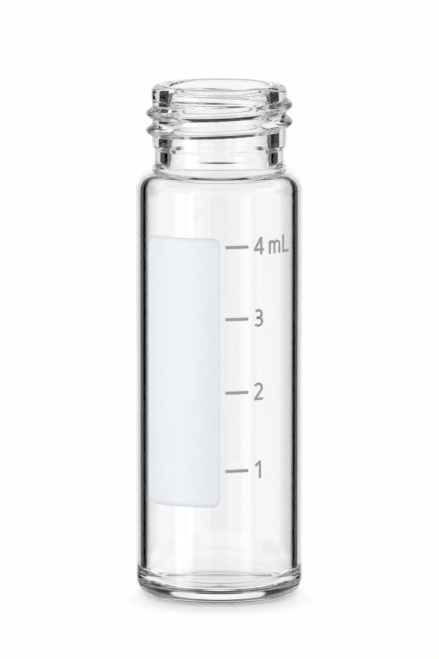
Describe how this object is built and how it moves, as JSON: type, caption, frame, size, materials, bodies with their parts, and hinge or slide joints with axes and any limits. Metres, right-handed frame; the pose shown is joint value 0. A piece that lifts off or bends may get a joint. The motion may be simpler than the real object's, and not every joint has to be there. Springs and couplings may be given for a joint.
{
  "type": "glass sample vial",
  "caption": "Small clear glass vial, open at the top: straight tubular body, rounded heel and shoulder, plain throat, and a short neck with a coarse screw thread under a rounded lip.",
  "frame": {"origin": "on the vial's axis, in the plane that it stands on", "axes": "+Z along the vial's axis, from the base to the mouth; the printed scale faces -Y"},
  "size_m": [0.0146, 0.0146, 0.045],
  "materials": {
    "clear_glass": "gloss"
  },
  "bodies": {
    "root": {"vial": "clear_glass"}
  },
  "joints": []
}
